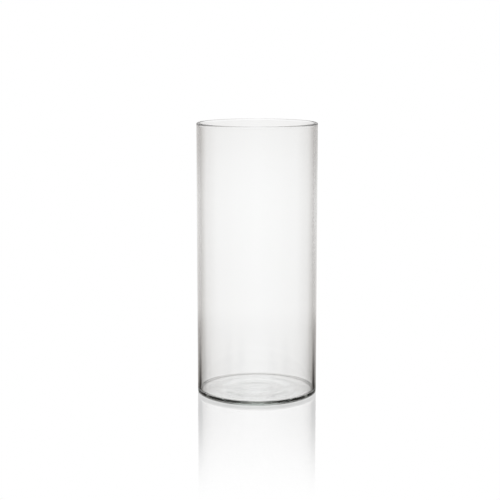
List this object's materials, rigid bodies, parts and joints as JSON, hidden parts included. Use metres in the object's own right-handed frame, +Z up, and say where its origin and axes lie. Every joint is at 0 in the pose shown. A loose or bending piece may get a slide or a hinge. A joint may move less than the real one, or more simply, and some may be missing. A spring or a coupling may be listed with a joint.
{
  "type": "cylinder vase",
  "caption": "Clear glass cylinder vase: straight thin wall, open mouth with a rounded fire-polished rim, thick floor with a shallow push-up, standing on a flat ring.",
  "frame": {"origin": "centre of the foot, on the plane that the vase stands on", "axes": "+Z up along the axis of the cylinder, out of the mouth; +X and +Y are level, and the shape is the same all round"},
  "size_m": [0.1102, 0.1102, 0.25],
  "materials": {
    "clear_glass": "clear soda-lime glass, fire-polished gloss"
  },
  "bodies": {
    "root": {"base": "clear_glass", "wall": "clear_glass", "rim": "clear_glass"}
  },
  "joints": []
}
